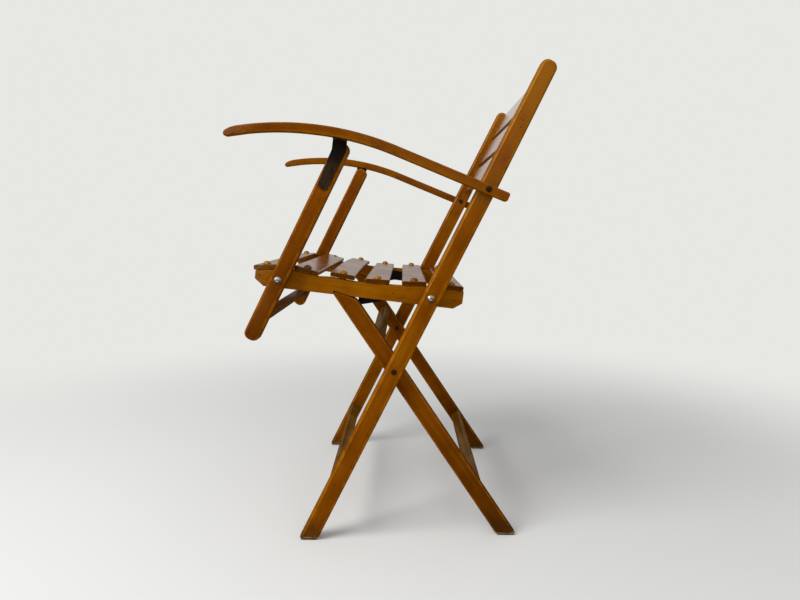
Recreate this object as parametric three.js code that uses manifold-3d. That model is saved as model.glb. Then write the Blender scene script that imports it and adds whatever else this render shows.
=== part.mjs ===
// A folding armchair in lacquered beech. Two long rails run from the front floor to the top of the slatted
// back, a pair of rear legs crosses them, the slatted seat tips up about the rails, and two curved arms ride
// on the rails and on a pair of front posts that stay parallel to the rails while the chair folds.
// Millimetres. +Z is up, the sitter faces -Y, and the sitter's left hand is on +X.
// Side members are drawn in the side plane as points (y, z), each in its member's own turned frame.

import * as THREE from "three";
import { mergeVertices } from "three/addons/utils/BufferGeometryUtils.js";
import Module from "manifold-3d";

const wasm = await Module();
wasm.setup();

const degrees = THREE.MathUtils.degToRad;

// Boards, gaps and cuts
const boardThickness = 21;
const edgeChamfer = 1.4;
const layerGap = 0.8;
const seatedGap = 0.3;
const boreClearance = 0.3;
const overrun = 3;

// Width of the chair, over the outer faces of the long rails
const chairWidth = 496;

// Long rails, with reaches measured along the rail from the floor
const railLean = degrees(26.5);
const railWidth = 28.6;
const railTopWidth = 26;
const railTopSetback = 12;
const railTopRise = 13;
const crossingReach = 320;
const seatPivotReach = 453;
const armPivotReach = 645;

// Rear legs, with reaches measured along the leg from the crossing
const legLean = degrees(33.8);
const legWidth = 27.5;
const legTipFall = degrees(18);
const legTipHeight = 6.2;

// Glides under the four feet
const glideThickness = 2;
const glideInset = 1;
const glideSetback = 1;

// Stretcher between the long rails near the floor
const frontStretcherWidth = 20;
const frontStretcherDepth = 14;
const frontStretcherReach = 104;
const frontStretcherInset = 2;
const stretcherSetback = 3;

// Stretcher between the rear legs near the floor, below the crossing
const rearStretcherWidth = 22;
const rearStretcherDepth = 14;
const rearStretcherReach = 246;
const rearStretcherOffset = 2;
const rearStretcherSetback = 3.5;

// Bar between the rear legs above the crossing
const legBarWidth = 20;
const legBarDepth = 18;
const legBarReach = 51;
const legBarSetback = 3;

// Back slats
const backSlatCount = 3;
const backSlatWidth = 50;
const backSlatThickness = 8;
const backSlatPitch = 65.5;
const backSlatLift = 25;
const backSlatRecess = 12;
const backSlatSetback = 2;

// Seat rails, with places measured from the seat pivot
const seatDrop = degrees(6.65);
const seatPivotSpacing = 246;
const seatRailTail = 52.5;
const seatRailNose = 41.5;
const seatRailDepth = 32;
const seatRailPivotHeight = 14;
const seatRailFrontCutLength = 15;
const seatRailFrontCutHeight = 11;
const seatRailRearCutLength = 14;
const seatRailRearCutHeight = 10;

// Seat slats from front to rear: place along the seat rail, height on it, and tilt against it
const slatWidth = 40.4;
const slatThickness = 8;
const slatSetback = 1.6;
const slatPlaceShares = [0.949, 0.761, 0.585, 0.4165, 0.239, 0.0627];
const slatHeightShares = [0.85, 0.9, 0.8, 0.785, 0.9, 0.935];
const slatTilts = [8.4, -9.7, -3.6, 3.1, 5, -1.2].map(degrees);
const raisedSlat = 2;
const slatSpacerHeight = 1.4;
const slatSpacerRadius = 6;

// Domed wooden plugs over the slat screws
const plugRadius = 6.5;
const plugHeight = 5.4;

// Steel catch plates inside the seat rails, at the leg tips
const catchRise = 20;
const catchDrop = 15;
const catchThickness = 2;
const catchFrontShare = 0.743;
const catchLowShare = 0.406;
const catchRearShare = 0.279;
const catchSetback = 5;

// Front posts, with reaches measured from the post's seat rail pivot
const postWidth = 26;
const postFootReach = 107;
const postHeadReach = 48;
const postEndSetback = 10;

// Bar between the front posts, below the seat
const postBarWidth = 14;
const postBarDepth = 18;
const postBarReach = 69;
const postBarSetback = 3;

// Arms, straight past the rail and then bent down to the nose, with runs measured from the rail pivot
const armDrop = degrees(22.2);
const armThickness = 14.2;
const armNoseThickness = 12;
const armWidth = 21;
const armTail = 34;
const armStraight = 154;
const armReach = 422;
const armBendRadius = 463;
const armNoseLength = 24;
const armNoseFall = 6;
const armNoseRunShares = [0.4, 0.7, 0.9, 1];
const armNoseFallShares = [0.09, 0.32, 0.62, 1];
const armEdgeChamfer = 2.2;

// Steel brackets bent from sheet: a strap on the post, a flared neck, and a flange under the arm
const bracketThickness = 2.5;
const strapWidth = 16.5;
const strapTailReach = 23.5;
const neckWidth = 22;
const neckHeight = 17;
const neckFlare = 9;
const neckLead = 4;
const flangeReach = 19;

// Bolts, and the screws that hold the brackets and stop inside the posts
const boltRadius = 3;
const domeHeadRadius = 6;
const domeHeadHeight = 3.6;
const darkHeadRadius = 4.6;
const darkHeadHeight = 2.6;
const screwHeadRadius = 4.2;
const screwHeadHeight = 1;
const screwCover = 5;
const tailHeadRadius = 4.6;
const tailHeadHeight = 1.6;
const headRimHeight = 0.6;

// Facets
const roundSides = 16;
const domeRings = 3;
const cornerSteps = 4;
const bendSteps = 16;

const wood = (name, color) => new THREE.MeshStandardMaterial({ name, color, roughness: 0.32, metalness: 0 });
const metal = (name, color, roughness) => (
  new THREE.MeshStandardMaterial({ name, color, roughness, metalness: 1 }));
const amber = wood("amber lacquered beech", 0x8b5003);
const amberShade = wood("amber lacquered beech, cross pieces", 0x7a4606);
const slatWood = wood("brown lacquered seat slat", 0x7d5236);
const backWood = wood("brown lacquered back slat", 0x84553a);
const plugWood = wood("golden wooden plug", 0xa8701c);
const brightSteel = metal("bright steel", 0xc9ccd0, 0.25);
const darkSteel = metal("browned steel", 0x3a2c24, 0.5);
const bracketPaint = metal("brown painted steel", 0x4a382c, 0.55);
const catchSteel = metal("blued steel", 0x1c2226, 0.45);
const glidePlastic = wood("grey glide", 0x8d8a84);

const sides = [{ name: "left", sign: 1 }, { name: "right", sign: -1 }];

// Layers across the chair
const outerFace = chairWidth / 2;
const railX = outerFace - boardThickness / 2;
const railInnerFace = outerFace - boardThickness;
const innerLayerX = railInnerFace - layerGap - boardThickness / 2;
const innerLayerOuterFace = innerLayerX + boardThickness / 2;
const innerLayerInnerFace = innerLayerX - boardThickness / 2;
const armX = outerFace + layerGap + armWidth / 2;
const bracketInnerFace = outerFace + layerGap;

const point = (y, z) => new THREE.Vector2(y, z);
const middle = point(0, 0);

// A turned frame in the side plane
const frame = (origin, angle) => ({ origin, angle });
const outOf = (place, spot) => spot.clone().rotateAround(middle, place.angle).add(place.origin);
const into = (place, spot) => spot.clone().sub(place.origin).rotateAround(middle, -place.angle);

const railFrame = frame(middle, -railLean);
const crossing = outOf(railFrame, point(0, crossingReach));
const seatPivot = outOf(railFrame, point(0, seatPivotReach));
const armPivot = outOf(railFrame, point(0, armPivotReach));
const legFrame = frame(crossing, legLean);
const seatFrame = frame(seatPivot, -seatDrop);
const postPivot = outOf(seatFrame, point(-seatPivotSpacing, 0));
const postFrame = frame(postPivot, -railLean);
const bracketPivotReach = armPivotReach - seatPivotReach;
const bracketPivot = outOf(postFrame, point(0, bracketPivotReach));
const armFrame = frame(armPivot, -armDrop);

const chair = new THREE.Group();
const groupAt = (place) => {
  const group = new THREE.Group();
  group.position.set(0, place.origin.x, place.origin.y);
  group.rotation.x = place.angle;
  chair.add(group);
  return group;
};
const railGroup = groupAt(railFrame);
const legGroup = groupAt(legFrame);
const seatGroup = groupAt(seatFrame);
const postGroup = groupAt(postFrame);
const armGroup = groupAt(armFrame);
const floorGroup = groupAt(frame(middle, 0));

// The shape's own x and y become y and z, and its depth becomes x
const sideways = new THREE.Matrix4().makeBasis(
  new THREE.Vector3(0, 1, 0), new THREE.Vector3(0, 0, 1), new THREE.Vector3(1, 0, 0));

function addMesh(group, name, geometry, material, x = 0, y = 0, z = 0) {
  const mesh = new THREE.Mesh(geometry, material);
  mesh.name = name;
  mesh.position.set(x, y, z);
  group.add(mesh);
  return mesh;
}

function towards(from, target, distance) {
  return from.clone().add(target.clone().sub(from).setLength(distance));
}

// An outline through corners, each with its setback, the distance from the corner where its rounding starts
function outline(corners) {
  const shape = new THREE.Shape();
  corners.forEach(([corner, setback], index) => {
    const before = corners.at(index - 1)[0];
    const after = corners[(index + 1) % corners.length][0];
    const entry = setback > 0 ? towards(corner, before, setback) : corner;
    if (index === 0) shape.moveTo(entry.x, entry.y);
    else shape.lineTo(entry.x, entry.y);
    if (setback > 0) {
      const exit = towards(corner, after, setback);
      shape.quadraticCurveTo(corner.x, corner.y, exit.x, exit.y);
    }
  });
  shape.closePath();
  return shape;
}

function rectangle(width, depth, setback) {
  return outline([
    [point(-width / 2, -depth / 2), setback], [point(width / 2, -depth / 2), setback],
    [point(width / 2, depth / 2), setback], [point(-width / 2, depth / 2), setback],
  ]);
}

// An outline given a thickness across the chair, centred on x = 0
function plank(shape, thickness, chamfer = 0) {
  const geometry = new THREE.ExtrudeGeometry(shape, {
    depth: thickness - 2 * chamfer,
    bevelEnabled: chamfer > 0,
    bevelThickness: chamfer,
    bevelSize: chamfer,
    bevelOffset: -chamfer,
    bevelSegments: 1,
    curveSegments: cornerSteps,
  });
  geometry.translate(0, 0, chamfer - thickness / 2);
  geometry.applyMatrix4(sideways);
  return geometry;
}

function solidOf(geometry) {
  const bare = geometry.clone();
  bare.deleteAttribute("normal");
  bare.deleteAttribute("uv");
  const merged = mergeVertices(bare);
  return new wasm.Manifold(new wasm.Mesh({
    numProp: 3,
    vertProperties: new Float32Array(merged.attributes.position.array),
    triVerts: new Uint32Array(merged.index.array),
  }));
}

function geometryOf(solid) {
  const mesh = solid.getMesh();
  const geometry = new THREE.BufferGeometry();
  geometry.setAttribute("position", new THREE.BufferAttribute(mesh.vertProperties, mesh.numProp));
  geometry.setIndex(new THREE.BufferAttribute(mesh.triVerts, 1));
  return geometry;
}

function cut(geometry, tools) {
  return geometryOf(tools.reduce((solid, tool) => solid.subtract(solidOf(tool)), solidOf(geometry)));
}

// Cutters for bolt holes through a member of the given thickness
function bores(spots, thickness) {
  return spots.map((spot) => {
    const radius = boltRadius + boreClearance;
    const bore = new THREE.CylinderGeometry(radius, radius, thickness + 2 * overrun, roundSides);
    bore.rotateZ(Math.PI / 2);
    bore.translate(0, spot.x, spot.y);
    return bore;
  });
}

// A cap of a sphere as profile points from its rim to its crown
function domeProfile(radius, height, base) {
  const sphere = (radius * radius + height * height) / (2 * height);
  const rimAngle = Math.asin(radius / sphere);
  return Array.from({ length: domeRings + 1 }, (_, ring) => {
    const angle = rimAngle * (1 - ring / domeRings);
    return point(sphere * Math.sin(angle), base + height - sphere * (1 - Math.cos(angle)));
  });
}

// A bolt along x whose grip runs from inner to outer, with a domed head outside and mostly a flat tail inside
function bolt(inner, outer, headRadius, headHeight, sign, hasTail) {
  const start = inner - seatedGap;
  const end = outer + seatedGap;
  const tail = [
    point(0, start - tailHeadHeight), point(tailHeadRadius, start - tailHeadHeight),
    point(tailHeadRadius, start),
  ];
  const profile = [
    ...(hasTail ? tail : [point(0, start)]), point(boltRadius, start), point(boltRadius, end),
    point(headRadius, end),
    ...domeProfile(headRadius, headHeight - headRimHeight, end + headRimHeight),
  ];
  const geometry = new THREE.LatheGeometry(profile, roundSides);
  geometry.rotateZ(-sign * Math.PI / 2);
  return geometry;
}

function addBolts(group, name, spot, inner, outer, headRadius, headHeight, material, hasTail = true) {
  for (const side of sides) {
    const geometry = bolt(inner, outer, headRadius, headHeight, side.sign, hasTail);
    addMesh(group, `${name}_${side.name}`, geometry, material, 0, spot.x, spot.y);
  }
}

// Where a member cut level with the floor ends, at a place across it
function floorCut(place, across) {
  const level = glideThickness + seatedGap;
  const start = outOf(place, point(across, 0));
  return (level - start.y) / Math.cos(place.angle);
}

// The rails end a little above the top slat
const lowestBackSlat = armPivotReach + backSlatLift;
const railLength = lowestBackSlat + (backSlatCount - 1) * backSlatPitch + backSlatWidth + railTopRise;

function addRails() {
  const half = railWidth / 2;
  const shape = outline([
    [point(-half, floorCut(railFrame, -half)), 0], [point(half, floorCut(railFrame, half)), 0],
    [point(half, armPivotReach), 0],
    [point(railTopWidth - half, railLength), railTopSetback], [point(-half, railLength), railTopSetback],
  ]);
  const pivots = [crossingReach, seatPivotReach, armPivotReach].map((reach) => point(0, reach));
  for (const side of sides) {
    const geometry = cut(plank(shape, boardThickness, edgeChamfer), bores(pivots, boardThickness));
    addMesh(railGroup, `back_rail_${side.name}`, geometry, amber, side.sign * railX);
  }
}

// The leg's tip stands in a notch under the seat rail: a heel at the rail's lower edge, a nose square to the
// rail above it, and a top that falls from the nose towards the rear. All in the leg's own frame.
function legTip() {
  const half = legWidth / 2;
  const start = into(seatFrame, outOf(legFrame, point(-half, 0)));
  const heel = point(-half, (seatRailBottom - start.y) / Math.cos(legLean + seatDrop));
  const above = into(seatFrame, outOf(legFrame, heel)).add(point(0, legTipHeight));
  const nose = into(legFrame, outOf(seatFrame, above));
  const rear = point(half, nose.y - (half - nose.x) * Math.tan(legLean + legTipFall));
  return { heel, nose, rear };
}

function addLegs() {
  const half = legWidth / 2;
  const tip = legTip();
  const shape = outline([
    [point(-half, floorCut(legFrame, -half)), 0], [point(half, floorCut(legFrame, half)), 0],
    [tip.rear, 0], [tip.nose, 0], [tip.heel, 0],
  ]);
  for (const side of sides) {
    const geometry = cut(plank(shape, boardThickness, edgeChamfer), bores([middle], boardThickness));
    addMesh(legGroup, `rear_leg_${side.name}`, geometry, amber, side.sign * innerLayerX);
  }
}

function addGlides(place, width, x, label) {
  const centre = outOf(place, point(0, floorCut(place, 0)));
  const length = width / Math.cos(place.angle) - 2 * glideInset;
  const shape = rectangle(length, glideThickness, glideSetback);
  for (const side of sides) {
    const geometry = plank(shape, boardThickness - 2 * glideInset);
    addMesh(floorGroup, `${label}_glide_${side.name}`, geometry, glidePlastic, side.sign * x,
      centre.x, glideThickness / 2);
  }
}

function addCrossBar(group, name, shape, halfSpan, y, z) {
  addMesh(group, name, plank(shape, 2 * (halfSpan - seatedGap)), amberShade, 0, y, z);
}

function addCrossBars() {
  const frontShape = rectangle(frontStretcherWidth, frontStretcherDepth, stretcherSetback);
  const place = (frontStretcherWidth - railWidth) / 2 + frontStretcherInset;
  addCrossBar(railGroup, "front_stretcher", frontShape, railInnerFace, place, frontStretcherReach);
  const rearShape = rectangle(rearStretcherWidth, rearStretcherDepth, rearStretcherSetback);
  addCrossBar(
    legGroup, "rear_stretcher", rearShape, innerLayerInnerFace, rearStretcherOffset, -rearStretcherReach);
  const legBarShape = rectangle(legBarWidth, legBarDepth, legBarSetback);
  addCrossBar(legGroup, "leg_bar", legBarShape, innerLayerInnerFace, 0, legBarReach);
  const postBarShape = rectangle(postBarWidth, postBarDepth, postBarSetback);
  addCrossBar(postGroup, "post_bar", postBarShape, railInnerFace, 0, -postBarReach);
}

function addBackSlats() {
  const shape = rectangle(backSlatThickness, backSlatWidth, backSlatSetback);
  const place = backSlatRecess + (backSlatThickness - railWidth) / 2;
  for (let index = 0; index < backSlatCount; index += 1) {
    const board = plank(shape, 2 * (railInnerFace - seatedGap));
    const reach = lowestBackSlat + (backSlatCount - 1 - index) * backSlatPitch + backSlatWidth / 2;
    addMesh(railGroup, `back_slat_${index + 1}`, board, backWood, 0, place, reach);
  }
}

// The seat rail's own places: the pivot line is z = 0, and y runs towards the rear
const seatRailLength = seatRailNose + seatPivotSpacing + seatRailTail;
const seatRailBottom = -seatRailPivotHeight;
const slats = slatPlaceShares.map((share, index) => ({
  name: `seat_slat_${index + 1}`,
  lift: index === raisedSlat ? slatSpacerHeight + seatedGap : 0,
  tilt: slatTilts[index],
  seat: point(
    seatRailTail - share * seatRailLength,
    seatRailBottom + slatHeightShares[index] * seatRailDepth),
}));

// Along and square to a slat from the middle of its seat on the rail
const onSlat = (slat, along, up) => outOf(frame(slat.seat, slat.tilt), point(along, up));

function seatRailShape() {
  const front = seatRailTail - seatRailLength;
  const landings = slats.flatMap((slat) => [onSlat(slat, -slatWidth / 2, 0), onSlat(slat, slatWidth / 2, 0)]);
  landings[0].x = front;
  landings.at(-1).x = seatRailTail;
  return outline([
    [point(front, seatRailBottom + seatRailFrontCutHeight), 0],
    [point(front + seatRailFrontCutLength, seatRailBottom), 0],
    [point(seatRailTail - seatRailRearCutLength, seatRailBottom), 0],
    [point(seatRailTail, seatRailBottom + seatRailRearCutHeight), 0],
    ...landings.reverse().map((landing) => [landing, 0]),
  ]);
}

// The leg's nose, seen from the seat rail
const legNose = () => into(seatFrame, outOf(legFrame, legTip().nose));

// The notch under the seat rail that a leg's tip stands in
function legNotch() {
  const nose = legNose();
  const fall = legTipFall - seatDrop;
  const wall = nose.x - seatedGap;
  const roof = nose.y + seatedGap / Math.cos(fall) + seatedGap * Math.tan(fall);
  const floor = seatRailBottom - overrun;
  const end = wall + (roof - floor) / Math.tan(fall);
  const shape = outline([[point(wall, floor), 0], [point(end, floor), 0], [point(wall, roof), 0]]);
  return plank(shape, boardThickness + 2 * overrun);
}

function addSeatRails() {
  const shape = seatRailShape();
  const pivots = [middle, point(-seatPivotSpacing, 0)];
  for (const side of sides) {
    const tools = [legNotch(), ...bores(pivots, boardThickness)];
    const geometry = cut(plank(shape, boardThickness, edgeChamfer), tools);
    addMesh(seatGroup, `seat_rail_${side.name}`, geometry, amber, side.sign * innerLayerX);
  }
}

function addSeatSlats() {
  const shape = rectangle(slatWidth, slatThickness, slatSetback);
  for (const slat of slats) {
    const centre = onSlat(slat, 0, seatedGap + slat.lift + slatThickness / 2);
    const geometry = plank(shape, 2 * innerLayerOuterFace);
    const mesh = addMesh(seatGroup, slat.name, geometry, slatWood, 0, centre.x, centre.y);
    mesh.rotation.x = slat.tilt;
    addPlugs(slat);
  }
}

function addPlugs(slat) {
  const spot = onSlat(slat, 0, 2 * seatedGap + slat.lift + slatThickness);
  for (const side of sides) {
    const profile = [point(0, 0), ...domeProfile(plugRadius, plugHeight, 0)];
    const geometry = new THREE.LatheGeometry(profile, roundSides);
    geometry.rotateX(Math.PI / 2);
    const x = side.sign * innerLayerX;
    const mesh = addMesh(seatGroup, `${slat.name}_plug_${side.name}`, geometry, plugWood, x, spot.x, spot.y);
    mesh.rotation.x = slat.tilt;
  }
}

function addSlatSpacers() {
  const slat = slats[raisedSlat];
  const centre = onSlat(slat, 0, seatedGap + slatSpacerHeight / 2);
  for (const side of sides) {
    const disc = new THREE.CylinderGeometry(slatSpacerRadius, slatSpacerRadius, slatSpacerHeight, roundSides);
    disc.rotateX(Math.PI / 2);
    const x = side.sign * innerLayerX;
    const mesh = addMesh(seatGroup, `slat_spacer_${side.name}`, disc, slatWood, x, centre.x, centre.y);
    mesh.rotation.x = slat.tilt;
  }
}

function addCatchPlates() {
  const nose = legNose();
  const [front, low, rear] = [catchFrontShare, catchLowShare, catchRearShare].map((share) => nose.x * share);
  const top = seatRailBottom + catchRise;
  const shape = outline([
    [point(front, top), catchSetback], [point(front, seatRailBottom - catchDrop), catchSetback],
    [point(low, seatRailBottom), 0], [point(rear, seatRailBottom), 0], [point(rear, top), catchSetback],
  ]);
  const x = innerLayerInnerFace - seatedGap - catchThickness / 2;
  for (const side of sides) {
    addMesh(seatGroup, `catch_plate_${side.name}`, plank(shape, catchThickness), catchSteel, side.sign * x);
  }
}

function addPosts() {
  const half = postWidth / 2;
  const head = bracketPivotReach + postHeadReach;
  const shape = outline([
    [point(-half, -postFootReach), postEndSetback], [point(half, -postFootReach), postEndSetback],
    [point(half, head), postEndSetback], [point(-half, head), postEndSetback],
  ]);
  for (const side of sides) {
    const [through, blind] = bores([middle, point(0, bracketPivotReach)], boardThickness);
    blind.translate(side.sign * (screwCover + overrun), 0, 0);
    const geometry = cut(plank(shape, boardThickness, edgeChamfer), [through, blind]);
    addMesh(postGroup, `front_post_${side.name}`, geometry, amber, side.sign * railX);
  }
}

// A spot on the arm's middle line by its run forwards from the rail pivot, with the turn of the line there
function armPlace(run) {
  const turn = Math.max(run - armStraight, 0) / armBendRadius;
  const bend = point(-Math.sin(turn), Math.cos(turn) - 1).multiplyScalar(armBendRadius);
  return frame(point(-Math.min(run, armStraight), 0).add(bend), turn);
}

// Runs along the arm, each with the thinning of the underside and the fall of the top over the nose
function armStations() {
  const noseStart = armReach - armNoseLength;
  const bend = Array.from({ length: bendSteps }, (_, step) => step / (bendSteps - 1));
  const bendRuns = bend.map((share) => armStraight + (noseStart - armStraight) * share);
  const noseRuns = armNoseRunShares.map((share) => noseStart + armNoseLength * share);
  const falls = [...bendRuns.map(() => 0), ...armNoseFallShares.map((share) => armNoseFall * share)];
  const stations = [...bendRuns, ...noseRuns].map((run, index) => {
    const share = (run - armStraight) / (armReach - armStraight);
    return { run, fall: falls[index], thinning: (armThickness - armNoseThickness) * share ** 3 };
  });
  return [{ run: -armTail, fall: 0, thinning: 0 }, ...stations];
}

function addArms() {
  const half = armThickness / 2;
  const stations = armStations();
  const upper = stations.map(({ run, fall }) => [outOf(armPlace(run), point(0, half - fall)), 0]);
  const lower = stations.map(({ run, thinning }) => [outOf(armPlace(run), point(0, thinning - half)), 0]);
  const shape = outline([...upper, ...lower.reverse()]);
  for (const side of sides) {
    const geometry = cut(plank(shape, armWidth, armEdgeChamfer), bores([middle], armWidth));
    addMesh(armGroup, `arm_${side.name}`, geometry, amber, side.sign * armX);
  }
}

// The middle of the bracket's flange against the arm's underside, in the arm's own frame
function flangePlace() {
  const pivot = into(armFrame, bracketPivot);
  const run = armStraight + armBendRadius * Math.asin((-pivot.x - armStraight) / armBendRadius) + neckLead;
  const place = armPlace(run);
  return frame(outOf(place, point(0, -armThickness / 2 - seatedGap)), place.angle);
}

// The bracket's sheet seen along the arm, outwards from the strap's inner face and down from the flange's top
function bracketSheet(sign, place) {
  const length = bracketPivotReach;
  const shape = outline([
    [point(0, -length), 0], [point(bracketThickness, -length), 0], [point(bracketThickness, -neckHeight), 0],
    [point(bracketThickness + neckFlare, -bracketThickness), 0], [point(flangeReach, -bracketThickness), 0],
    [point(flangeReach, 0), 0], [point(neckFlare, 0), 0], [point(0, bracketThickness / 2 - neckHeight), 0],
  ]);
  const sheet = new THREE.ExtrudeGeometry(shape, { depth: length, bevelEnabled: false });
  sheet.translate(0, 0, -length / 2);
  sheet.applyMatrix4(new THREE.Matrix4().makeBasis(
    new THREE.Vector3(sign, 0, 0), new THREE.Vector3(0, 0, 1), new THREE.Vector3(0, -sign, 0)));
  sheet.rotateX(place.angle);
  sheet.translate(0, place.origin.x, place.origin.y);
  return sheet;
}

// The bracket seen from the side, in the arm's own frame
function bracketShape(place) {
  const onPost = (across, along) => into(armFrame, outOf(postFrame, point(across, along)));
  const half = strapWidth / 2;
  const low = bracketPivotReach - strapTailReach - half;
  const edge = neckWidth / 2;
  return outline([
    [onPost(-half, low), half], [onPost(half, low), half],
    [outOf(place, point(edge, -neckHeight)), 0], [outOf(place, point(edge, overrun)), 0],
    [outOf(place, point(-edge, overrun)), 0], [outOf(place, point(-edge, -neckHeight)), 0],
  ]);
}

function addBrackets() {
  const place = flangePlace();
  const side = plank(bracketShape(place), 2 * (flangeReach + overrun));
  const spot = into(armFrame, bracketPivot);
  for (const { name, sign } of sides) {
    const blank = geometryOf(solidOf(side).intersect(solidOf(bracketSheet(sign, place))));
    const geometry = cut(blank, bores([spot], 2 * bracketThickness));
    addMesh(armGroup, `arm_bracket_${name}`, geometry, bracketPaint, sign * bracketInnerFace);
  }
}

function addAllBolts() {
  const armOuterFace = armX + armWidth / 2;
  const strapOuterFace = bracketInnerFace + bracketThickness;
  const screwEnd = railInnerFace + screwCover + 2 * seatedGap;
  addBolts(railGroup, "leg_bolt", point(0, crossingReach), innerLayerInnerFace, outerFace,
    darkHeadRadius, darkHeadHeight, darkSteel);
  addBolts(railGroup, "seat_bolt", point(0, seatPivotReach), innerLayerInnerFace, outerFace,
    domeHeadRadius, domeHeadHeight, brightSteel);
  addBolts(railGroup, "arm_bolt", point(0, armPivotReach), railInnerFace, armOuterFace,
    darkHeadRadius, darkHeadHeight, darkSteel);
  addBolts(postGroup, "post_bolt", middle, innerLayerInnerFace, outerFace,
    domeHeadRadius, domeHeadHeight, brightSteel);
  addBolts(postGroup, "bracket_screw", point(0, bracketPivotReach), screwEnd, strapOuterFace,
    screwHeadRadius, screwHeadHeight, darkSteel, false);
}

addRails();
addLegs();
addGlides(railFrame, railWidth, railX, "front");
addGlides(legFrame, legWidth, innerLayerX, "rear");
addCrossBars();
addBackSlats();
addSeatRails();
addSeatSlats();
addSlatSpacers();
addCatchPlates();
addPosts();
addArms();
addBrackets();
addAllBolts();

// The origin is on the floor, midway between the front and the back of the chair
const bounds = new THREE.Box3().setFromObject(chair, true);
chair.position.y = -(bounds.min.y + bounds.max.y) / 2;

export default chair;
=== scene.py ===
"""The folding armchair, dressed: boards with eased edges, lacquered wood, domed plugs and steel fittings."""
import math

import bpy
from mathutils import Matrix, Vector


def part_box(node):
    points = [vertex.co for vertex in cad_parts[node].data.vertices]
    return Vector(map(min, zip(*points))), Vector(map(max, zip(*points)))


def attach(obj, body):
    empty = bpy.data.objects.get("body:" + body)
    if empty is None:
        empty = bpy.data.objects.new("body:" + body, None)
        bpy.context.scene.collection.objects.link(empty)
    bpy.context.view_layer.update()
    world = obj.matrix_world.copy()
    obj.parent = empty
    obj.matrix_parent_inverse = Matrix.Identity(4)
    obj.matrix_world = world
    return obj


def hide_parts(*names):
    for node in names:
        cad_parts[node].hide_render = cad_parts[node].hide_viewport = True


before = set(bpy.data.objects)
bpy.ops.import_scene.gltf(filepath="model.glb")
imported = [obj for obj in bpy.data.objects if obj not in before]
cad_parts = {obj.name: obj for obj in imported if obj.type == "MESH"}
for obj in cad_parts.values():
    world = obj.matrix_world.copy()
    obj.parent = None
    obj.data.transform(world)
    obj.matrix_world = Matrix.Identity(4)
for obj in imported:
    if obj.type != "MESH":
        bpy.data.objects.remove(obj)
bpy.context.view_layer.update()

# Turns of the members about the chair's X axis
UPRIGHT = 0.0
RAIL_TURN = math.radians(-26.5)
LEG_TURN = math.radians(33.8)
SEAT_TURN = math.radians(-6.65)
ARM_TURN = math.radians(-22.2)
SLAT_TILTS = [math.radians(tilt) for tilt in (8.4, -9.7, -3.6, 3.1, 5.0, -1.2)]

SIDES = ("left", "right")
SEAT_SLATS = range(1, 7)
BACK_SLATS = range(1, 4)

ACROSS = Vector((1, 0, 0))
REARWARD = Vector((0, 1, 0))
UP = Vector((0, 0, 1))
# Places closer than this are taken as the same
HAIR = 0.0001
# Faces that meet at less than this are shaded as one surface
SMOOTH_BELOW = math.radians(40)
# Edges sharper than this are eased
SHARP_FROM = math.radians(32)
# Loose triangles of a solid that lie this flat are merged
FLAT_BELOW = math.radians(1)
SAME_CORNER = 1e-6


# Modelling


def use(piece):
    """Select this piece alone and make it the active one."""
    bpy.ops.object.select_all(action="DESELECT")
    piece.select_set(True)
    bpy.context.view_layer.objects.active = piece


def open_mesh(piece, level="EDGE"):
    """Go into edit mode on this piece with nothing selected."""
    use(piece)
    bpy.ops.object.mode_set(mode="EDIT")
    bpy.ops.mesh.select_mode(type=level)
    bpy.ops.mesh.select_all(action="DESELECT")


def close_mesh():
    bpy.ops.object.mode_set(mode="OBJECT")


def pick_edges(piece, wanted):
    """Open the mesh with the edges selected whose two ends pass the test."""
    open_mesh(piece)
    close_mesh()
    spots = [vertex.co.copy() for vertex in piece.data.vertices]
    for edge in piece.data.edges:
        start, end = edge.vertices
        edge.select = bool(wanted(spots[start], spots[end]))
    bpy.ops.object.mode_set(mode="EDIT")


def pick_corners(piece, wanted):
    """Open the mesh with the corners selected that pass the test."""
    open_mesh(piece, "VERT")
    close_mesh()
    for vertex in piece.data.vertices:
        vertex.select = bool(wanted(vertex.co))
    bpy.ops.object.mode_set(mode="EDIT")


def apply_modifier(piece, kind, **settings):
    """Put one modifier on a piece and apply it at once."""
    use(piece)
    modifier = piece.modifiers.new(kind.lower(), kind)
    for name, value in settings.items():
        setattr(modifier, name, value)
    bpy.ops.object.modifier_apply(modifier=modifier.name)


def fix_place(piece, place=None):
    """Move or turn a piece by a matrix, and keep the move in its mesh."""
    use(piece)
    if place is not None:
        piece.matrix_world = place @ piece.matrix_world
    bpy.ops.object.transform_apply(location=True, rotation=True, scale=True)


def turn_piece(piece, turn):
    fix_place(piece, Matrix.Rotation(turn, 4, "X"))


def name_piece(name):
    """Name the primitive that was just added, and give it back."""
    piece = bpy.context.object
    piece.name = piece.data.name = name
    fix_place(piece)
    return piece


def add_block(name, low, high):
    """A block between two corners."""
    bpy.ops.object.select_all(action="DESELECT")
    bpy.ops.mesh.primitive_cube_add(size=1, location=(low + high) / 2, scale=high - low)
    return name_piece(name)


def add_rod(name, middle, radius, length, sides):
    """A round rod along X."""
    bpy.ops.object.select_all(action="DESELECT")
    bpy.ops.mesh.primitive_cylinder_add(
        vertices=sides, radius=radius, depth=length, location=middle, rotation=(0, math.pi / 2, 0))
    return name_piece(name)


def saw(piece, spot, outwards):
    """Saw off what lies outwards of a spot and close the cut."""
    open_mesh(piece)
    bpy.ops.mesh.select_all(action="SELECT")
    bpy.ops.mesh.bisect(plane_co=spot, plane_no=outwards.normalized(), use_fill=True, clear_outer=True)
    close_mesh()


def score(piece, across, places):
    """Cut lines of edges round a piece without taking anything off."""
    for place in places:
        open_mesh(piece)
        bpy.ops.mesh.select_all(action="SELECT")
        bpy.ops.mesh.bisect(plane_co=across * place, plane_no=across)
        close_mesh()


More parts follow.
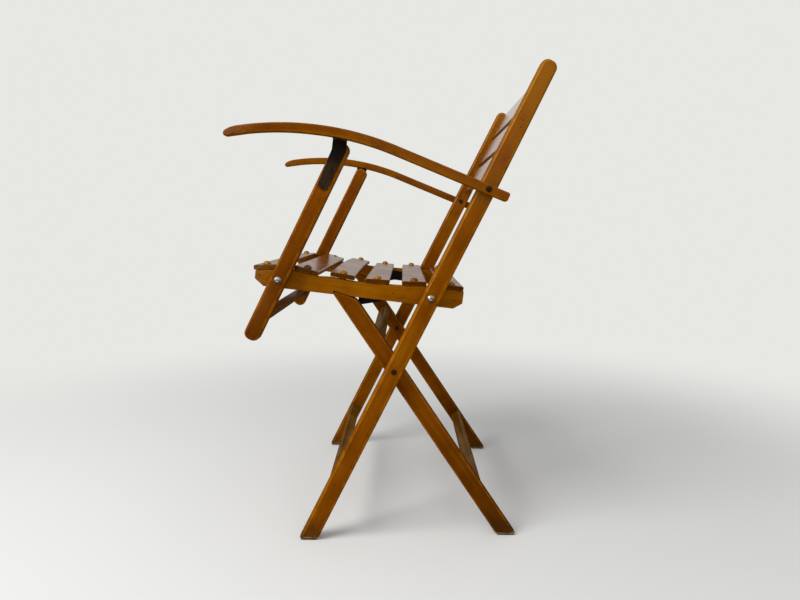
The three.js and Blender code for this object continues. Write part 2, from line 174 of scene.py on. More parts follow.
def even_places(low, high, count):
    """Places that cut the stretch from low to high into equal parts."""
    return [low + (high - low) * step / count for step in range(1, count)]


def cut_away(piece, cutter):
    """Cut one piece's shape out of another, and throw the cutter away."""
    apply_modifier(piece, "BOOLEAN", operation="DIFFERENCE", solver="EXACT", object=cutter)
    bpy.data.objects.remove(cutter)


def round_corners(piece, wanted, radius, steps=7):
    """Round the corners that run across the chair and pass the test."""
    def crossing(start, end):
        return (start - end).cross(ACROSS).length < HAIR / 100 and wanted((start + end) / 2)
    pick_edges(piece, crossing)
    bpy.ops.mesh.bevel(offset=radius, segments=steps, affect="EDGES", clamp_overlap=True)
    close_mesh()


def ease_edges(piece, width, steps=3, angle=SHARP_FROM):
    """Round all sharp edges, and mark the rounded faces as the ones that wear."""
    piece.data.materials.clear()
    for _ in range(2):
        piece.data.materials.append(None)
    apply_modifier(
        piece, "BEVEL", width=width, segments=steps, limit_method="ANGLE", angle_limit=angle, material=1)
    mesh = piece.data
    worn = mesh.attributes.new("worn", "FLOAT", "CORNER")
    for face in mesh.polygons:
        for corner in face.loop_indices:
            worn.data[corner].value = float(face.material_index == 1)
        face.material_index = 0
    mesh.materials.clear()


def bow(piece, sag, span):
    """Bow a board that is scored at its middle: the middle moves by the sag, and the ends stay."""
    pick_corners(piece, lambda spot: abs(spot.x) < HAIR)
    bpy.ops.transform.translate(
        value=sag, use_proportional_edit=True, proportional_edit_falloff="INVERSE_SQUARE",
        proportional_size=span / 2)
    close_mesh()


def smooth(piece):
    use(piece)
    bpy.ops.object.shade_smooth_by_angle(angle=SMOOTH_BELOW)
    apply_modifier(piece, "WEIGHTED_NORMAL", keep_sharp=True, weight=80)


def mirror_piece(piece, name):
    """A copy with its own mesh, mirrored to the chair's other side."""
    use(piece)
    bpy.ops.object.duplicate()
    twin = bpy.context.object
    twin.name = twin.data.name = name
    twin.scale.x = -1
    fix_place(twin)
    open_mesh(twin, "FACE")
    bpy.ops.mesh.select_all(action="SELECT")
    bpy.ops.mesh.normals_make_consistent(inside=False)
    close_mesh()
    return twin


def solid_copy(name, node):
    """A copy of a node's solid with its loose triangles merged into whole faces."""
    use(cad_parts[node])
    bpy.ops.object.duplicate()
    copy = bpy.context.object
    copy.name = copy.data.name = name
    open_mesh(copy, "VERT")
    bpy.ops.mesh.select_all(action="SELECT")
    bpy.ops.mesh.remove_doubles(threshold=SAME_CORNER)
    bpy.ops.mesh.dissolve_limited(angle_limit=FLAT_BELOW)
    close_mesh()
    return copy


def node_corners(name, turn=UPRIGHT):
    """All corners of a node's solid, seen in a frame turned about X."""
    back = Matrix.Rotation(-turn, 3, "X")
    return [back @ vertex.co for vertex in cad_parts[name].data.vertices]


def node_box(name, turn=UPRIGHT):
    """Lowest and highest corner of a node in a frame turned about X."""
    corners = node_corners(name, turn)
    low = Vector(min(corner[axis] for corner in corners) for axis in range(3))
    high = Vector(max(corner[axis] for corner in corners) for axis in range(3))
    return low, high


def node_middle(name, turn=UPRIGHT):
    low, high = node_box(name, turn)
    return (low + high) / 2


def into_turn(spot, turn):
    return Matrix.Rotation(-turn, 3, "X") @ spot


def out_of_turn(spot, turn):
    return Matrix.Rotation(turn, 3, "X") @ spot


def dress(piece, material, body, slot, *nodes):
    """Give a finished piece its material and its body, and hide the nodes that it stands for. The slot is not
    used.
    """
    piece.data.materials.clear()
    piece.data.materials.append(material)
    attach(piece, body)
    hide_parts(*nodes)


def finish_pair(left, name, material, body, slot, *nodes):
    """Mirror a left piece to the right, and dress them both. The body may differ by side."""
    right = mirror_piece(left, f"{name}_right")
    for piece, side in zip((left, right), SIDES):
        smooth(piece)
        dress(piece, material, body.format(side), slot, *(f"{node}_{side}" for node in nodes))


# Materials


# A small mark's ragged border, as shares of its radius
MARK_DRIFT_SCALE = 700
MARK_CORE_SHARE = 0.8
MARK_RIM_SHARE = 1.6


class Recipe:
    """One node material, built a step at a time."""

    def __init__(self, name):
        self.material = bpy.data.materials.new(name)
        self.material.use_nodes = True
        self.tree = self.material.node_tree
        self.shader = self.tree.nodes["Principled BSDF"]

    def add(self, kind, **settings):
        made = self.tree.nodes.new(kind)
        for name, value in settings.items():
            setattr(made, name, value)
        return made

    def feed(self, socket, value):
        """Link a socket to another one, or set it to a plain value."""
        if isinstance(value, bpy.types.NodeSocket):
            self.tree.links.new(value, socket)
        elif isinstance(value, tuple) and socket.type == "RGBA":
            socket.default_value = (*value, 1)
        else:
            socket.default_value = value

    def set(self, **values):
        for name, value in values.items():
            self.feed(self.shader.inputs[name.replace("_", " ")], value)

    def place(self, turn=UPRIGHT, stretch=(1, 1, 1)):
        """Object coordinates turned into a member's own frame and divided by the stretch."""
        spot = self.add("ShaderNodeTexCoord").outputs["Object"]
        return self.stretch(spot, stretch, turn)

    def stretch(self, vector, stretch, turn=UPRIGHT):
        turned = self.add("ShaderNodeMapping", vector_type="TEXTURE")
        turned.inputs["Rotation"].default_value = (turn, 0, 0)
        turned.inputs["Scale"].default_value = stretch
        self.feed(turned.inputs["Vector"], vector)
        return turned.outputs["Vector"]

    def attribute(self, name, output="Fac"):
        return self.add("ShaderNodeAttribute", attribute_name=name).outputs[output]

    def part(self, vector, axis):
        parts = self.add("ShaderNodeSeparateXYZ")
        self.feed(parts.inputs[0], vector)
        return parts.outputs[axis]

    def height(self):
        """How far above the floor a point lies, at rest."""
        return self.part(self.place(), "Z")

    def off_middle(self):
        """How far to the side of the chair's middle a point lies."""
        return self.math("ABSOLUTE", self.part(self.place(), "X"))

    def noise(self, vector, scale, detail=3.0, roughness=0.55, distortion=0.0):
        made = self.add("ShaderNodeTexNoise")
        self.feed(made.inputs["Vector"], vector)
        for name, value in (
                ("Scale", scale), ("Detail", detail), ("Roughness", roughness), ("Distortion", distortion)):
            made.inputs[name].default_value = value
        return made.outputs["Fac"]

    def fade(self, value, start, end, low=0.0, high=1.0):
        """A smooth step: low until start, high from end on."""
        made = self.add("ShaderNodeMapRange", interpolation_type="SMOOTHSTEP")
        for socket, number in zip(made.inputs, (value, start, end, low, high)):
            self.feed(socket, number)
        return made.outputs[0]

    def ramp(self, value, *stops):
        """A colour ramp, from pairs of place and colour."""
        made = self.add("ShaderNodeValToRGB")
        elements = made.color_ramp.elements
        while len(elements) < len(stops):
            elements.new(0.5)
        for element, (place, tone) in zip(elements, stops):
            element.position = place
            element.color = (*tone, 1)
        self.feed(made.inputs["Fac"], value)
        return made.outputs["Color"]

    def mix(self, amount, first, second):
        """Two colours mixed by an amount."""
        made = self.add("ShaderNodeMix", data_type="RGBA")
        for socket, value in ((made.inputs[0], amount), (made.inputs[6], first), (made.inputs[7], second)):
            self.feed(socket, value)
        return made.outputs[2]

    def dim(self, colour, amount):
        """A colour made darker by a grey factor."""
        made = self.add("ShaderNodeVectorMath", operation="SCALE")
        self.feed(made.inputs[0], colour)
        self.feed(made.inputs["Scale"], amount)
        return made.outputs[0]

    def math(self, operation, first, second=0.0):
        made = self.add("ShaderNodeMath", operation=operation)
        self.feed(made.inputs[0], first)
        self.feed(made.inputs[1], second)
        return made.outputs[0]

    def total(self, *parts):
        """The sum of pairs of value and weight."""
        result = 0.0
        for value, weight in parts:
            result = self.math("ADD", result, self.math("MULTIPLY", value, weight))
        return result

    def mark(self, spot, radius):
        """1 at a spot on the chair, 0 from a radius away, with a ragged edge."""
        far = self.add("ShaderNodeVectorMath", operation="DISTANCE")
        here = self.place()
        self.feed(far.inputs[0], here)
        far.inputs[1].default_value = spot
        drift = self.math("MULTIPLY", self.noise(here, MARK_DRIFT_SCALE), radius)
        ragged = self.math("ADD", far.outputs["Value"], drift)
        return self.fade(ragged, radius * MARK_CORE_SHARE, radius * MARK_RIM_SHARE, 1.0, 0.0)

    def bump(self, height, distance):
        made = self.add("ShaderNodeBump")
        made.inputs["Distance"].default_value = distance
        made.inputs["Strength"].default_value = 1.0
        self.feed(made.inputs["Height"], height)
        self.feed(self.shader.inputs["Normal"], made.outputs["Normal"])


# Tones of the lacquered beech, dark, middle and light, as linear colours
AMBER = ((0.120, 0.0300, 0.0002), (0.186, 0.0505, 0.0003), (0.250, 0.0850, 0.0006))
LEG_AMBER = ((0.090, 0.0225, 0.0002), (0.150, 0.0390, 0.0003), (0.220, 0.068, 0.0006))
ARM_AMBER = ((0.104, 0.0255, 0.0002), (0.160, 0.0425, 0.0003), (0.215, 0.0710, 0.0005))
POST_AMBER = ((0.112, 0.0262, 0.0002), (0.172, 0.0440, 0.0003), (0.235, 0.0750, 0.0006))
SEAT_AMBER = ((0.125, 0.0350, 0.0003), (0.200, 0.0600, 0.0005), (0.265, 0.092, 0.0010))
SLAT_AMBER = ((0.115, 0.030, 0.0010), (0.180, 0.050, 0.0015), (0.240, 0.076, 0.0030))
BAR_AMBER = ((0.050, 0.016, 0.0012), (0.082, 0.029, 0.0024), (0.125, 0.052, 0.0060))
STRETCHER_AMBER = ((0.082, 0.030, 0.0014), (0.140, 0.056, 0.0036), (0.215, 0.102, 0.0140))
PLUG_GOLD = ((0.150, 0.055, 0.0010), (0.270, 0.105, 0.0020), (0.380, 0.170, 0.0060))
PLUG_RED = ((0.060, 0.014, 0.0010), (0.110, 0.030, 0.0020), (0.180, 0.060, 0.0060))

SOIL = (0.030, 0.018, 0.006)
BARE_EDGE = (0.33, 0.24, 0.13)
NICK = (0.035, 0.008, 0.001)
# Yellow of the painted window light on the rails' upper parts
PAINTED_LIGHT_TONE = (0.300, 0.110, 0.0006)
# Pale amber of the painted highlight on the front edges
PAINTED_HIGHLIGHT_TONE = (0.56, 0.27, 0.045)

# Scales of the wood's patterns, their shares in its tone, and how bright it stays in pores and stains
FIGURE_SCALE = 75
FIBRE_SCALE = 700
PORE_SCALE = 2400
CLOUD_SCALE = 17
STAIN_SCALE = 60
FIGURE_SHARE = 0.34
CLOUD_SHARE = 0.42
FIBRE_SHARE = 0.24
TONE_STOPS = (0.34, 0.50, 0.66)
PORE_BRIGHTNESS = 0.82
STAIN_BRIGHTNESS = 0.86
GRAIN_RELIEF = 0.00004
RELIEF_SHARES = (0.12, 1.0, 0.02)

# Dark end grain, wood in the shade of the seat, and wood in the window's light
END_GRAIN_SHARE = 0.34
END_GRAIN_FROM = 0.0014
END_GRAIN_TO = 0.0002
LOW_WOOD_SHARE = 0.58
PAINTED_LIGHT_SHARE = 0.55

# Eased edges are rubbed lighter, the painted highlight on the front edges fades below the arms, and the
# painted shadow lines at the leg's tip are dark
RUBBED_GAIN = 1.25
RUBBED_RANGE = (0.15, 0.70)
PAINTED_HIGHLIGHT_FADES = (0.47, 0.60)
LOW_PAINTED_HIGHLIGHT_SHARE = 0.30
PAINTED_HIGHLIGHT_GAP_SHARE = 0.35
# The painted highlight starts and ends where the rounded edge faces this much to the side
PAINTED_HIGHLIGHT_STARTS = (0.90, 0.95)
PAINTED_HIGHLIGHT_ENDS = (0.97, 0.99)
# Width and darkness of the painted shadow line
SHADOW_LINE_DEPTH = 0.0036
SHADOW_LINE_SHARE = 0.12

# Soil near the floor, with a ragged upper border, and edges worn bare below it
SOILED_BELOW = 0.010
CLEAN_ABOVE = 0.045
SOIL_DRIFT = 0.030
SOIL_STRENGTH = 0.45
SOIL_DULLNESS = 0.35
EDGE_BARE_FROM = 0.004
EDGE_BARE_BELOW = 0.0075
EDGE_BARE_STRENGTH = 0.75

# The lacquer
LACQUER_TINT = (1.0, 0.52, 0.12)
LACQUER_IOR = 1.45
COAT_ROUGHNESS = 0.12
GLOSS_DRIFT = 0.07


def painted_highlight_line(wood, clouds, turn, strength):
    """The part of the rounded front edges, seen from the side, that the painted highlight covers."""
    facing = wood.add("ShaderNodeTexCoord").outputs["Normal"]
    sideways = wood.math("ABSOLUTE", wood.part(facing, "X"))
    band = wood.math("MULTIPLY", wood.fade(sideways, *PAINTED_HIGHLIGHT_STARTS), wood.fade(sideways, *PAINTED_HIGHLIGHT_ENDS, 1.0, 0.0))
    forward = wood.fade(wood.part(wood.stretch(facing, (1, 1, 1), turn), "Y"), -0.10, 0.0, 1.0, 0.0)
    patchy = wood.math("MULTIPLY", wood.fade(clouds, 0.30, 0.55, PAINTED_HIGHLIGHT_GAP_SHARE * strength, strength), forward)
    patchy = wood.math("MULTIPLY", patchy, wood.fade(wood.height(), *PAINTED_HIGHLIGHT_FADES, LOW_PAINTED_HIGHLIGHT_SHARE, 1.0))
    return wood.math("MULTIPLY", band, patchy)


def lacquered_wood(
        name, tones, turn=UPRIGHT, along=(1, 1, 24), unrolled=False, gloss=0.42, mirror=0.0, coat=0.09,
        marks=(), ends=None, shaded=None, painted_light=None, painted_shadow_lines=(), painted_highlight=0.0):
    """Fine-grained wood under amber lacquer, with the grain along one axis of the member's frame.

    The coat's weight caps how much the wood mirrors at a flat angle. The end grain beyond a distance from
    the chair's middle is darker, wood below a height is darker with painted shade, and wood close to a seam
    at the leg's tip gets a painted shadow line. Painted window light makes wood above a height yellower.
    The painted highlight is a thin pale line along the front edges, where the gloss would catch the window.
    """
    wood = Recipe(name)
    if unrolled:
        grain = wood.stretch(wood.attribute("unrolled", "Vector"), along)
    else:
        grain = wood.place(turn, along)
    even = wood.place()

    figure = wood.noise(grain, FIGURE_SCALE, detail=2.0, roughness=0.5, distortion=0.3)
    fibres = wood.noise(grain, FIBRE_SCALE, detail=3.0, roughness=0.6)
    pores = wood.noise(grain, PORE_SCALE, detail=1.0)
    clouds = wood.noise(even, CLOUD_SCALE, detail=2.0, roughness=0.5)
    stains = wood.noise(even, STAIN_SCALE, detail=3.0, roughness=0.6)

    tone = wood.total((figure, FIGURE_SHARE), (clouds, CLOUD_SHARE), (fibres, FIBRE_SHARE))
    colour = wood.ramp(tone, *zip(TONE_STOPS, tones))
    colour = wood.dim(colour, wood.fade(pores, 0.30, 0.46, PORE_BRIGHTNESS, 1.0))
    colour = wood.dim(colour, wood.fade(stains, 0.30, 0.40, STAIN_BRIGHTNESS, 1.0))

    if ends:
        near_end = (ends - END_GRAIN_FROM, ends - END_GRAIN_TO)
        colour = wood.dim(colour, wood.fade(wood.off_middle(), *near_end, 1.0, END_GRAIN_SHARE))
    if shaded:
        colour = wood.dim(colour, wood.fade(wood.height(), *shaded, LOW_WOOD_SHARE, 1.0))
    # Painted window light: wood above a height turns yellower
    if painted_light:
        colour = wood.mix(wood.fade(wood.height(), *painted_light, 0.0, PAINTED_LIGHT_SHARE), colour, PAINTED_LIGHT_TONE)

    rubbed = wood.math("MULTIPLY", wood.attribute("worn"), wood.fade(stains, 0.40, 0.62, *RUBBED_RANGE))
    light = tones[-1]
    colour = wood.mix(rubbed, colour, tuple(part * RUBBED_GAIN for part in light))
    # Painted highlight: a thin pale line on the front edges, where the gloss would catch the window
    if painted_highlight:
        colour = wood.mix(painted_highlight_line(wood, clouds, turn, painted_highlight), colour, PAINTED_HIGHLIGHT_TONE)
    # Painted shadow line: darker wood close to the cuts at the leg's tip, where shade falls in the gap to the
    # notch
    for turn_there, axis, edge, inside in painted_shadow_lines:
        depth = wood.part(wood.place(turn_there), axis)
        colour = wood.dim(colour, wood.fade(depth, edge, edge + inside * SHADOW_LINE_DEPTH, SHADOW_LINE_SHARE, 1.0))

    above = wood.total((wood.height(), 1.0), (stains, SOIL_DRIFT), (clouds, SOIL_DRIFT))
    soil = wood.fade(above, SOILED_BELOW + SOIL_DRIFT, CLEAN_ABOVE + SOIL_DRIFT, SOIL_STRENGTH, 0.0)
    colour = wood.mix(soil, colour, SOIL)
    low_down = wood.fade(wood.height(), EDGE_BARE_FROM, EDGE_BARE_BELOW, EDGE_BARE_STRENGTH, 0.0)
    scuffed = wood.math("MULTIPLY", low_down, wood.attribute("worn"))
    colour = wood.mix(wood.math("MULTIPLY", scuffed, wood.fade(stains, 0.34, 0.5)), colour, BARE_EDGE)
    for spot, radius in marks:
        colour = wood.mix(wood.mark(spot, radius), colour, NICK)
    wood.set(Base_Color=colour)

    dull = wood.math("MULTIPLY", soil, SOIL_DULLNESS)
    patchy_gloss = wood.fade(clouds, 0.35, 0.65, gloss + GLOSS_DRIFT, gloss)
    wood.set(Roughness=wood.math("ADD", patchy_gloss, dull))
    wood.set(Specular_IOR_Level=mirror, Specular_Tint=LACQUER_TINT)
    wood.set(Coat_Weight=coat, Coat_Roughness=COAT_ROUGHNESS, Coat_IOR=LACQUER_IOR)
    wood.bump(wood.total(*zip((fibres, figure, pores), RELIEF_SHARES)), GRAIN_RELIEF)
    return wood.material


STEEL_SPECKLE_SCALE = 900
STEEL_TARNISH_SCALE = 130
STEEL_RUBBED_GAIN = 1.6
STEEL_RELIEF = 0.00004


def fitting_steel(name, tone, shade, gloss, metal=1.0, mirror=0.5, bare=None):
    """Steel with fine speckle, handling marks and a rubbed edge."""
    steel = Recipe(name)
    spot = steel.place()
    fine = steel.noise(spot, STEEL_SPECKLE_SCALE, detail=3.0)
    broad = steel.noise(spot, STEEL_TARNISH_SCALE, detail=4.0, roughness=0.6)
    tarnish = steel.fade(broad, 0.38, 0.62, 0.5, 0.0)
    colour = steel.mix(tarnish, tone, shade)
    colour = steel.dim(colour, steel.fade(fine, 0.3, 0.6, 0.85, 1.0))
    rubbed = steel.math("MULTIPLY", steel.attribute("worn"), steel.fade(broad, 0.40, 0.60, 0.1, 0.8))
    colour = steel.mix(rubbed, colour, bare or tuple(part * STEEL_RUBBED_GAIN for part in tone))
    steel.set(Base_Color=colour, Metallic=metal, Specular_IOR_Level=mirror)
    steel.set(Roughness=steel.total((tarnish, 0.25), (fine, 0.08), (gloss, 1.0)))
    steel.bump(steel.total((fine, 0.5), (broad, 1.0)), STEEL_RELIEF)
    return steel.material


# Painted shade: the neck and flange under the arm are near black, the strap lighter brown
SHADED_NECK_TONE = (0.0062, 0.0030, 0.0015)
STRAP_TONE = (0.0230, 0.0122, 0.0056)
RUBBED_PAINT = (0.085, 0.050, 0.028)
PAINT_SPECKLE_SCALE = 500
PAINT_PATCH_SCALE = 90
PAINT_STREAK_SCALE = 220
PAINT_DRIFT = 0.010
PAINT_RELIEF = 0.00006


def bracket_paint():
    """Brown-black paint, darkened to near black on the neck and flange with painted shade from the arm above,
    and rubbed lighter on the strap.
    """
    paint = Recipe("brown bracket paint")
    along = paint.place(RAIL_TURN)
    fine = paint.noise(along, PAINT_SPECKLE_SCALE, detail=3.0)
    broad = paint.noise(along, PAINT_PATCH_SCALE, detail=4.0, roughness=0.6)
    streak = paint.noise(paint.place(RAIL_TURN, (1, 1, 5)), PAINT_STREAK_SCALE, detail=2.0)
    reach = paint.total((paint.part(along, "Z"), 1.0), (broad, PAINT_DRIFT))
    # Painted shade on the neck and flange, fading in above the strap
    strap_out_of_shade = paint.fade(reach, *STRAP_FADES, 1.0, 0.0)
    colour = paint.mix(strap_out_of_shade, SHADED_NECK_TONE, STRAP_TONE)
    colour = paint.dim(colour, paint.fade(broad, 0.35, 0.62, 0.80, 1.15))
    colour = paint.dim(colour, paint.fade(streak, 0.32, 0.45, 0.80, 1.0))
    rubbed = paint.math("MULTIPLY", paint.attribute("worn"), paint.fade(broad, 0.44, 0.62, 0.05, 0.5))
    colour = paint.mix(rubbed, colour, RUBBED_PAINT)
    paint.set(Base_Color=colour, Metallic=0.0, Specular_IOR_Level=0.03)
    paint.set(Roughness=paint.total((fine, 0.10), (broad, 0.12), (0.44, 1.0)))
    paint.bump(paint.total((fine, 0.6), (broad, 1.4)), PAINT_RELIEF)
    return paint.material


# Places on the chair, from the frame
FLOOR_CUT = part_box("rear_leg_left")[0].z
ARM_PIVOT = node_middle("arm_bolt_left")
BRACKET_PIVOT = node_middle("bracket_screw_left", RAIL_TURN)
# Where the bracket's neck starts above its pivot, and the heights over which its painted shade fades in
NECK_RISE = 0.021
NECK_START = BRACKET_PIVOT.z + NECK_RISE
STRAP_FADES = (NECK_START - 0.013, NECK_START + 0.009)
RAIL_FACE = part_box("back_rail_left")[1].x
SLAT_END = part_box("seat_slat_1")[1].x

# The two cuts at a rear leg's tip that bear in the seat rail's notch, with a painted shadow line along them:
# turn, axis, place and the way inside
LEG_TOP_FALL = math.radians(18)
LEG_NOSE = max(node_corners("rear_leg_left", LEG_TURN), key=lambda spot: spot.z)
LEG_NOSE_PLACE = out_of_turn(LEG_NOSE, LEG_TURN)
LEG_PAINTED_SHADOW_LINES = (
    (SEAT_TURN, "Y", into_turn(LEG_NOSE_PLACE, SEAT_TURN).y, 1),
    (-LEG_TOP_FALL, "Z", into_turn(LEG_NOSE_PLACE, -LEG_TOP_FALL).z, -1))

# Small dark marks in the wood, as places and radii
RAIL_MARKS = (
    ((RAIL_FACE, 0.2040, 0.6838), 0.0014), ((RAIL_FACE, 0.2012, 0.6733), 0.0016),
    ((RAIL_FACE, 0.2001, 0.6868), 0.0012), ((RAIL_FACE, 0.1975, 0.6790), 0.0010),
    ((RAIL_FACE, 0.2065, 0.6770), 0.0011))
POST_MARKS = (((-0.2270, -0.1502, 0.5111), 0.0012),)
SEAT_RAIL_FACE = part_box("seat_rail_left")[1].x
SEAT_RAIL_MARKS = (
    ((SEAT_RAIL_FACE, 0.0030, 0.4126), 0.0012), ((SEAT_RAIL_FACE, 0.0048, 0.4122), 0.0010),
    ((SEAT_RAIL_FACE, 0.1025, 0.4007), 0.0012), ((SEAT_RAIL_FACE, 0.1045, 0.4001), 0.0010),
    ((SEAT_RAIL_FACE, -0.2119, 0.4410), 0.0014))
ARM_MARKS = (((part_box("arm_left")[1].x, -0.1627, 0.6676), 0.0009),)

ALONG_X = (24, 1, 1)
ALONG_Y = (1, 24, 1)
ALONG_Z = (1, 1, 24)

# Heights at which painted window light turns the rails yellower, and up to which painted shade darkens the
# posts and legs
RAIL_PAINTED_LIGHT = (0.60, 0.76)
POST_SHADED = (0.27, 0.58)
LEG_SHADED = (0.06, 0.20)

# The rails get painted window light on their upper parts and a painted highlight on their front edges
rail_wood = lacquered_wood(
    "rail wood", AMBER, RAIL_TURN, ALONG_Z, marks=RAIL_MARKS, painted_light=RAIL_PAINTED_LIGHT, painted_highlight=0.7)
post_wood = lacquered_wood("post wood", POST_AMBER, RAIL_TURN, ALONG_Z, marks=POST_MARKS, shaded=POST_SHADED)
leg_wood = lacquered_wood("rear leg wood", LEG_AMBER, LEG_TURN, ALONG_Z, shaded=LEG_SHADED, painted_shadow_lines=LEG_PAINTED_SHADOW_LINES)
seat_rail_wood = lacquered_wood("seat rail wood", SEAT_AMBER, SEAT_TURN, ALONG_Y, marks=SEAT_RAIL_MARKS)
arm_wood = lacquered_wood("arm wood", ARM_AMBER, along=ALONG_Z, unrolled=True, coat=0.06, marks=ARM_MARKS)
slat_wood = lacquered_wood(
    "seat slat wood", SLAT_AMBER, SEAT_TURN, ALONG_X, gloss=0.18, mirror=0.18, coat=0.10, ends=SLAT_END)
back_wood = lacquered_wood(
    "back slat wood", SLAT_AMBER, RAIL_TURN, ALONG_X, gloss=0.14, mirror=0.35, coat=0.5)
bar_wood = lacquered_wood("crossbar wood", BAR_AMBER, RAIL_TURN, ALONG_X, coat=0.22)
stretcher_wood = lacquered_wood("stretcher wood", STRETCHER_AMBER, LEG_TURN, ALONG_X, coat=0.16)
gold_plug_wood = lacquered_wood("golden plug wood", PLUG_GOLD, along=(1, 1, 4), gloss=0.18, mirror=0.5)
red_plug_wood = lacquered_wood("reddish plug wood", PLUG_RED, along=(1, 1, 4), gloss=0.18, mirror=0.5)
bright_steel = fitting_steel("bright screw steel", (0.34, 0.33, 0.31), (0.18, 0.165, 0.15), 0.24)
brown_steel = fitting_steel(
    "browned bolt steel", (0.028, 0.0135, 0.0030), (0.011, 0.0050, 0.0012), 0.46, metal=0.0, mirror=0.02,
    bare=(0.050, 0.030, 0.018))
strap_paint = bracket_paint()
catch_steel = fitting_steel(
    "blued plate steel", (0.0060, 0.0034, 0.0026), (0.0035, 0.0018, 0.0012), 0.58, metal=0.0, mirror=0.10,
    bare=(0.020, 0.013, 0.009))
glide_grey = fitting_steel(
    "dark glide", (0.060, 0.050, 0.036), (0.028, 0.022, 0.016), 0.60, metal=0.0, mirror=0.2,
    bare=(0.11, 0.095, 0.07))


# Rails, legs and posts


RAIL_EDGE = 0.0045
RAIL_TOP_WIDTH = 0.026
RAIL_TOP_RADIUS = 0.0111


def saw_foot(board, turn):
    """Cut a leaning board level at the floor."""
    saw(board, into_turn(UP * FLOOR_CUT, turn), into_turn(-UP, turn))


def make_long_rails():
    low, high = node_box("back_rail_left", RAIL_TURN)
    rail = add_block("long_rail_left", low, high)
    start = node_middle("arm_bolt_left", RAIL_TURN).z
    taper = high.y - low.y - RAIL_TOP_WIDTH
    saw(rail, Vector((0, high.y, start)), Vector((0, high.z - start, taper)))
    round_corners(rail, lambda spot: spot.z > high.z - HAIR, RAIL_TOP_RADIUS)
    saw_foot(rail, RAIL_TURN)
    ease_edges(rail, RAIL_EDGE, steps=5)
    turn_piece(rail, RAIL_TURN)
    finish_pair(rail, "long_rail", rail_wood, "frame", "amber_wood", "back_rail")


LEG_SHOULDER = 0.0095
LEG_EDGE = 0.0028
LEG_SHARP_FROM = math.radians(25)


def make_rear_legs():
    low, high = node_box("rear_leg_left", LEG_TURN)
    front_cut = into_turn(out_of_turn(-REARWARD, SEAT_TURN), LEG_TURN)
    top_cut = into_turn(out_of_turn(UP, -LEG_TOP_FALL), LEG_TURN)
    leg = add_block("crossing_leg_left", low, high)
    saw(leg, LEG_NOSE, front_cut)
    saw(leg, LEG_NOSE, top_cut)
    shoulder = max((vertex.co.z for vertex in leg.data.vertices if vertex.co.y > high.y - HAIR))
    round_corners(leg, lambda spot: (spot - Vector((0, high.y, shoulder))).yz.length < HAIR, LEG_SHOULDER, 8)
    saw_foot(leg, LEG_TURN)
    ease_edges(leg, LEG_EDGE, steps=4, angle=LEG_SHARP_FROM)
    turn_piece(leg, LEG_TURN)
    finish_pair(leg, "crossing_leg", leg_wood, "legs", "amber_wood", "rear_leg")


POST_END_RADIUS = 0.0112
POST_EDGE = 0.0037


def make_front_posts():
    post = add_block("arm_post_left", *node_box("front_post_left", RAIL_TURN))
    round_corners(post, lambda spot: True, POST_END_RADIUS)
    ease_edges(post, POST_EDGE, steps=4)
    turn_piece(post, RAIL_TURN)
    finish_pair(post, "arm_post", post_wood, "posts", "amber_wood", "front_post")


SEAT_RAIL_EDGE = 0.0011


def make_seat_rails():
    rail = solid_copy("seat_rail_board_left", "seat_rail_left")
    ease_edges(rail, SEAT_RAIL_EDGE)
    finish_pair(rail, "seat_rail_board", seat_rail_wood, "seat", "amber_wood", "seat_rail")


# Arms


ARM_TAIL = 0.034
ARM_STRAIGHT = 0.154
ARM_CURVED = 0.268
ARM_BEND_RADIUS = 0.463
ARM_THICKNESS = 0.0142
# The underside rises by this much over the front half of the curve
ARM_NOSE_RELIEF = 0.0022
ARM_NOSE_LENGTH = 0.024
ARM_NOSE_FALL = 0.0078
ARM_NOSE_CUTS = 7
ARM_TAIL_RADIUS = 0.003
ARM_CURVE_PARTS = 24
ARM_STRAIGHT_PARTS = 5
ARM_EDGE = 0.0020


def make_arms():
    """Each arm is shaped as a straight board standing on end, then steamed round its bend."""
    low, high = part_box("arm_left")
    half = ARM_THICKNESS / 2
    tail = -ARM_TAIL - ARM_STRAIGHT
    arm = add_block("curved_arm_left", Vector((low.x, -half, tail)), Vector((high.x, half, ARM_CURVED)))
    relief_run = ARM_CURVED / 2
    saw(arm, Vector((0, -half, relief_run)), Vector((0, -relief_run, ARM_NOSE_RELIEF)))
    for cut in range(1, ARM_NOSE_CUTS + 1):
        angle = math.pi / 2 * cut / (ARM_NOSE_CUTS + 1)
        spot = Vector((
            0, half - ARM_NOSE_FALL * (1 - math.cos(angle)),
            ARM_CURVED - ARM_NOSE_LENGTH * (1 - math.sin(angle))))
        saw(arm, spot, Vector((0, math.cos(angle) / ARM_NOSE_FALL, math.sin(angle) / ARM_NOSE_LENGTH)))
    round_corners(arm, lambda spot: spot.z < tail + HAIR, ARM_TAIL_RADIUS, 4)
    score(arm, UP, even_places(0, ARM_CURVED - ARM_NOSE_LENGTH, ARM_CURVE_PARTS))
    score(arm, UP, even_places(tail, 0, ARM_STRAIGHT_PARTS) + [0])
    ease_edges(arm, ARM_EDGE)
    unrolled = arm.data.attributes.new("unrolled", "FLOAT_VECTOR", "POINT")
    for vertex, spot in zip(arm.data.vertices, unrolled.data):
        spot.vector = vertex.co
    apply_modifier(
        arm, "SIMPLE_DEFORM", deform_method="BEND", deform_axis="X", angle=-ARM_CURVED / ARM_BEND_RADIUS,
        limits=(-tail / (ARM_CURVED - tail), 1))
    lying = Matrix.Rotation(math.pi / 2 + ARM_TURN, 4, "X")
    pivot = Vector((0, ARM_PIVOT.y, ARM_PIVOT.z))
    fix_place(arm, Matrix.Translation(pivot) @ lying @ Matrix.Translation(UP * ARM_STRAIGHT))
    finish_pair(arm, "curved_arm", arm_wood, "{}_arm", "amber_wood", "arm")


# Slats and bars


